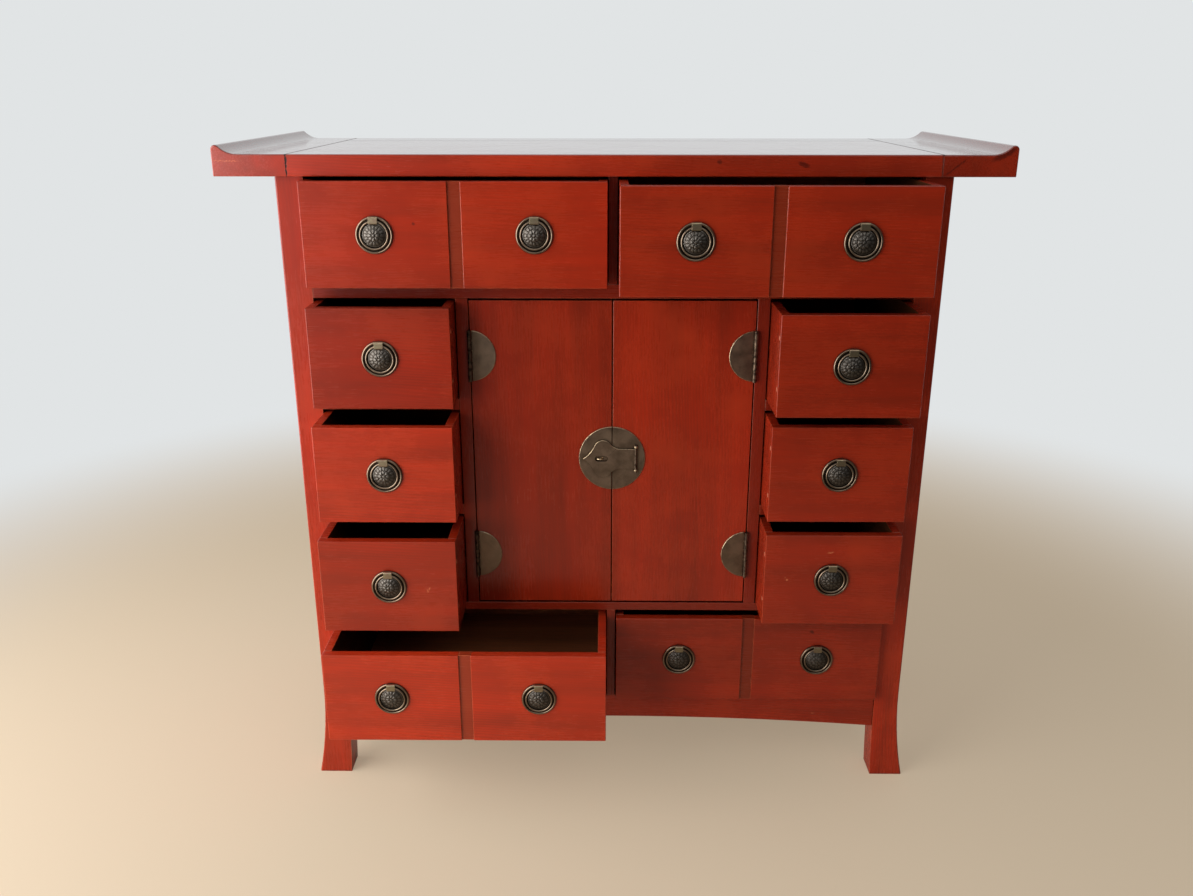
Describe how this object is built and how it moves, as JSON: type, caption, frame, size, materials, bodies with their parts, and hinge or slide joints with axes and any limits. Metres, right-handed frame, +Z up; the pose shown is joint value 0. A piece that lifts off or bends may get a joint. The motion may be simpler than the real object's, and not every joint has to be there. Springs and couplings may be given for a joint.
{
  "type": "low cabinet with drawers",
  "caption": "Low wooden cabinet with an upturned top, flared feet, sliding drawers around a cupboard with two hinged doors, ring pulls and a hasp.",
  "frame": {"origin": "on the floor, under the middle of the box around the cabinet as it stands with its drawers partly open", "axes": "+X to the right seen from the front, +Y from the front to the back, +Z up"},
  "size_m": [1.17, 0.6044, 1.081],
  "materials": {
    "lacquer": "red lacquer over wood, semi-gloss",
    "drawer_wood": "red lacquer over wood, dark inside",
    "inner_wood": "plain darkened wood",
    "brass": "aged brass with worn edges"
  },
  "bodies": {
    "case": {"top_front_board": "lacquer", "top_back_board": "lacquer", "top_end_right": "lacquer", "top_end_left": "lacquer", "front_post_right": "lacquer", "front_post_left": "lacquer", "back_post_right": "lacquer", "back_post_left": "lacquer", "side_panels": "lacquer", "back_panel": "lacquer", "front_apron": "lacquer", "case_aprons": "lacquer", "head_rail": "lacquer", "lower_rail": "lacquer", "column_rails": "lacquer", "front_uprights": "lacquer", "dust_boards": "inner_wood", "cupboard_shelf": "inner_wood", "partitions": "inner_wood", "drawer_runners": "inner_wood", "hinge_leaves": "brass"},
    "right_door": {"door_right": "lacquer", "door_right_brass": "brass"},
    "left_door": {"door_left": "lacquer", "door_left_brass": "brass"},
    "hasp": {"hasp": "brass"},
    "top_left_drawer": {"drawer_top_left": "drawer_wood", "pulls_top_left": "brass"},
    "ring_top_left": {"ring_top_left": "brass"},
    "ring_top_left_inner": {"ring_top_left_inner": "brass"},
    "top_right_drawer": {"drawer_top_right": "drawer_wood", "pulls_top_right": "brass"},
    "ring_top_right": {"ring_top_right": "brass"},
    "ring_top_right_inner": {"ring_top_right_inner": "brass"},
    "left_upper_drawer": {"drawer_left_upper": "drawer_wood", "pulls_left_upper": "brass"},
    "ring_left_upper": {"ring_left_upper": "brass"},
    "left_middle_drawer": {"drawer_left_middle": "drawer_wood", "pulls_left_middle": "brass"},
    "ring_left_middle": {"ring_left_middle": "brass"},
    "left_lower_drawer": {"drawer_left_lower": "drawer_wood", "pulls_left_lower": "brass"},
    "ring_left_lower": {"ring_left_lower": "brass"},
    "right_upper_drawer": {"drawer_right_upper": "drawer_wood", "pulls_right_upper": "brass"},
    "ring_right_upper": {"ring_right_upper": "brass"},
    "right_middle_drawer": {"drawer_right_middle": "drawer_wood", "pulls_right_middle": "brass"},
    "ring_right_middle": {"ring_right_middle": "brass"},
    "right_lower_drawer": {"drawer_right_lower": "drawer_wood", "pulls_right_lower": "brass"},
    "ring_right_lower": {"ring_right_lower": "brass"},
    "bottom_left_drawer": {"drawer_bottom_left": "drawer_wood", "pulls_bottom_left": "brass"},
    "ring_bottom_left": {"ring_bottom_left": "brass"},
    "ring_bottom_left_inner": {"ring_bottom_left_inner": "brass"},
    "bottom_right_drawer": {"drawer_bottom_right": "drawer_wood", "pulls_bottom_right": "brass"},
    "ring_bottom_right": {"ring_bottom_right": "brass"},
    "ring_bottom_right_inner": {"ring_bottom_right_inner": "brass"}
  },
  "joints": [
    {"name": "right_door_swing", "type": "hinge", "parent": "case", "child": "right_door", "pos_m": [0.2215, -0.16125, 0.597], "axis": [0, 0, 1], "range_deg": [0, 90]},
    {"name": "left_door_swing", "type": "hinge", "parent": "case", "child": "left_door", "pos_m": [-0.2215, -0.16125, 0.597], "axis": [0, 0, -1], "range_deg": [0, 90]},
    {"name": "hasp_swing", "type": "hinge", "parent": "right_door", "child": "hasp", "pos_m": [0.038, -0.16175, 0.597], "axis": [0, 0, 1], "range_deg": [0, 175]},
    {"name": "top_left_slide", "type": "slide", "parent": "case", "child": "top_left_drawer", "axis": [0, -1, 0], "range_m": [-0.038, 0.262]},
    {"name": "ring_top_left_swing", "type": "hinge", "parent": "top_left_drawer", "child": "ring_top_left", "pos_m": [-0.3495, -0.19905, 0.9757], "axis": [-1, 0, 0], "range_deg": [0, 90]},
    {"name": "ring_top_left_inner_swing", "type": "hinge", "parent": "top_left_drawer", "child": "ring_top_left_inner", "pos_m": [-0.11525, -0.19905, 0.9757], "axis": [-1, 0, 0], "range_deg": [0, 90]},
    {"name": "top_right_slide", "type": "slide", "parent": "case", "child": "top_right_drawer", "axis": [0, -1, 0], "range_m": [-0.1025, 0.1975]},
    {"name": "ring_top_right_swing", "type": "hinge", "parent": "top_right_drawer", "child": "ring_top_right", "pos_m": [0.3495, -0.26355, 0.9757], "axis": [-1, 0, 0], "range_deg": [0, 90]},
    {"name": "ring_top_right_inner_swing", "type": "hinge", "parent": "top_right_drawer", "child": "ring_top_right_inner", "pos_m": [0.11525, -0.26355, 0.9757], "axis": [-1, 0, 0], "range_deg": [0, 90]},
    {"name": "left_upper_slide", "type": "slide", "parent": "case", "child": "left_upper_drawer", "axis": [0, -1, 0], "range_m": [-0.0565, 0.2435]},
    {"name": "ring_left_upper_swing", "type": "hinge", "parent": "left_upper_drawer", "child": "ring_left_upper", "pos_m": [-0.3495, -0.21755, 0.7942], "axis": [-1, 0, 0], "range_deg": [0, 90]},
    {"name": "left_middle_slide", "type": "slide", "parent": "case", "child": "left_middle_drawer", "axis": [0, -1, 0], "range_m": [-0.0795, 0.2205]},
    {"name": "ring_left_middle_swing", "type": "hinge", "parent": "left_middle_drawer", "child": "ring_left_middle", "pos_m": [-0.3495, -0.24055, 0.6162], "axis": [-1, 0, 0], "range_deg": [0, 90]},
    {"name": "left_lower_slide", "type": "slide", "parent": "case", "child": "left_lower_drawer", "axis": [0, -1, 0], "range_m": [-0.1025, 0.1975]},
    {"name": "ring_left_lower_swing", "type": "hinge", "parent": "left_lower_drawer", "child": "ring_left_lower", "pos_m": [-0.3495, -0.26355, 0.4382], "axis": [-1, 0, 0], "range_deg": [0, 90]},
    {"name": "right_upper_slide", "type": "slide", "parent": "case", "child": "right_upper_drawer", "axis": [0, -1, 0], "range_m": [-0.0965, 0.2035]},
    {"name": "ring_right_upper_swing", "type": "hinge", "parent": "right_upper_drawer", "child": "ring_right_upper", "pos_m": [0.3495, -0.25755, 0.7942], "axis": [-1, 0, 0], "range_deg": [0, 90]},
    {"name": "right_middle_slide", "type": "slide", "parent": "case", "child": "right_middle_drawer", "axis": [0, -1, 0], "range_m": [-0.0715, 0.2285]},
    {"name": "ring_right_middle_swing", "type": "hinge", "parent": "right_middle_drawer", "child": "ring_right_middle", "pos_m": [0.3495, -0.23255, 0.6162], "axis": [-1, 0, 0], "range_deg": [0, 90]},
    {"name": "right_lower_slide", "type": "slide", "parent": "case", "child": "right_lower_drawer", "axis": [0, -1, 0], "range_m": [-0.0725, 0.2275]},
    {"name": "ring_right_lower_swing", "type": "hinge", "parent": "right_lower_drawer", "child": "ring_right_lower", "pos_m": [0.3495, -0.23355, 0.4382], "axis": [-1, 0, 0], "range_deg": [0, 90]},
    {"name": "bottom_left_slide", "type": "slide", "parent": "case", "child": "bottom_left_drawer", "axis": [0, -1, 0], "range_m": [-0.137, 0.163]},
    {"name": "ring_bottom_left_swing", "type": "hinge", "parent": "bottom_left_drawer", "child": "ring_bottom_left", "pos_m": [-0.3495, -0.29805, 0.2582], "axis": [-1, 0, 0], "range_deg": [0, 90]},
    {"name": "ring_bottom_left_inner_swing", "type": "hinge", "parent": "bottom_left_drawer", "child": "ring_bottom_left_inner", "pos_m": [-0.11525, -0.29805, 0.2582], "axis": [-1, 0, 0], "range_deg": [0, 90]},
    {"name": "bottom_right_slide", "type": "slide", "parent": "case", "child": "bottom_right_drawer", "axis": [0, -1, 0], "range_m": [-0.0115, 0.2885]},
    {"name": "ring_bottom_right_swing", "type": "hinge", "parent": "bottom_right_drawer", "child": "ring_bottom_right", "pos_m": [0.3495, -0.17255, 0.2582], "axis": [-1, 0, 0], "range_deg": [0, 90]},
    {"name": "ring_bottom_right_inner_swing", "type": "hinge", "parent": "bottom_right_drawer", "child": "ring_bottom_right_inner", "pos_m": [0.11525, -0.17255, 0.2582], "axis": [-1, 0, 0], "range_deg": [0, 90]}
  ],
  "couplings": [
    {"joint": "left_door_swing", "follows": "right_door_swing", "ratio": 1}
  ]
}
